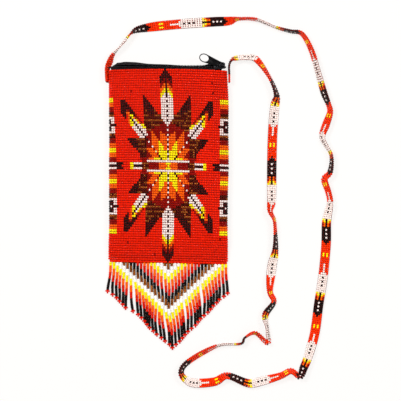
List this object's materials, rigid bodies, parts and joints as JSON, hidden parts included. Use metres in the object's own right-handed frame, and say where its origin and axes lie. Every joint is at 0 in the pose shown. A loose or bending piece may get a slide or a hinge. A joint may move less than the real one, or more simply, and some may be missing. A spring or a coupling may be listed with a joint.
{
  "type": "beaded phone pouch",
  "caption": "Flat loom-beaded phone pouch with a zip across the top, a pointed beaded fringe and a long flat beaded shoulder strap.",
  "frame": {"origin": "middle of the pouch's back, on the surface that the pouch lies on", "axes": "+X across the pouch towards the closed zip's slider, +Y from the fringe towards the zip mouth, +Z out of the patterned front"},
  "size_m": [0.1928, 0.3133, 0.0147],
  "materials": {
    "glass_beadwork": "glossy opaque glass seed beads, woven",
    "strap_beadwork": "glossy opaque glass seed beads, woven",
    "fringe_beads": "glossy opaque glass seed beads on thread",
    "zip_tape": "woven polyester tape",
    "zip_coil": "nylon coil",
    "slider_metal": "dark plated die-cast metal",
    "pull_enamel": "black enamel"
  },
  "bodies": {
    "bag": {"beadwork_pouch": "glass_beadwork", "zip_tape_front": "zip_tape", "zip_tape_back": "zip_tape", "zip_coil_front": "zip_coil", "zip_coil_back": "zip_coil", "strap": "strap_beadwork", "fringe_strand_01": "fringe_beads", "fringe_strand_02": "fringe_beads", "fringe_strand_03": "fringe_beads", "fringe_strand_04": "fringe_beads", "fringe_strand_05": "fringe_beads", "fringe_strand_06": "fringe_beads", "fringe_strand_07": "fringe_beads", "fringe_strand_08": "fringe_beads", "fringe_strand_09": "fringe_beads", "fringe_strand_10": "fringe_beads", "fringe_strand_11": "fringe_beads", "fringe_strand_12": "fringe_beads", "fringe_strand_13": "fringe_beads", "fringe_strand_14": "fringe_beads", "fringe_strand_15": "fringe_beads", "fringe_strand_16": "fringe_beads", "fringe_strand_17": "fringe_beads", "fringe_strand_18": "fringe_beads", "fringe_strand_19": "fringe_beads", "fringe_strand_20": "fringe_beads", "fringe_strand_21": "fringe_beads", "fringe_strand_22": "fringe_beads", "fringe_strand_23": "fringe_beads", "fringe_strand_24": "fringe_beads", "fringe_strand_25": "fringe_beads", "fringe_strand_26": "fringe_beads", "fringe_strand_27": "fringe_beads", "fringe_strand_28": "fringe_beads", "fringe_strand_29": "fringe_beads", "fringe_strand_30": "fringe_beads", "fringe_strand_31": "fringe_beads", "fringe_strand_32": "fringe_beads", "fringe_strand_33": "fringe_beads", "fringe_strand_34": "fringe_beads", "fringe_strand_35": "fringe_beads"},
    "slider": {"zip_slider": "slider_metal"},
    "pull": {"zip_pull": "pull_enamel"}
  },
  "joints": [
    {"name": "zip_slide", "type": "slide", "parent": "bag", "child": "slider", "axis": [-1, 0, 0], "range_m": [0, 0.08]},
    {"name": "pull_swing", "type": "hinge", "parent": "slider", "child": "pull", "pos_m": [0.04588, 0.08376, 0.013], "axis": [0.3746, 0.9272, 0], "range_deg": [0, 175]}
  ]
}
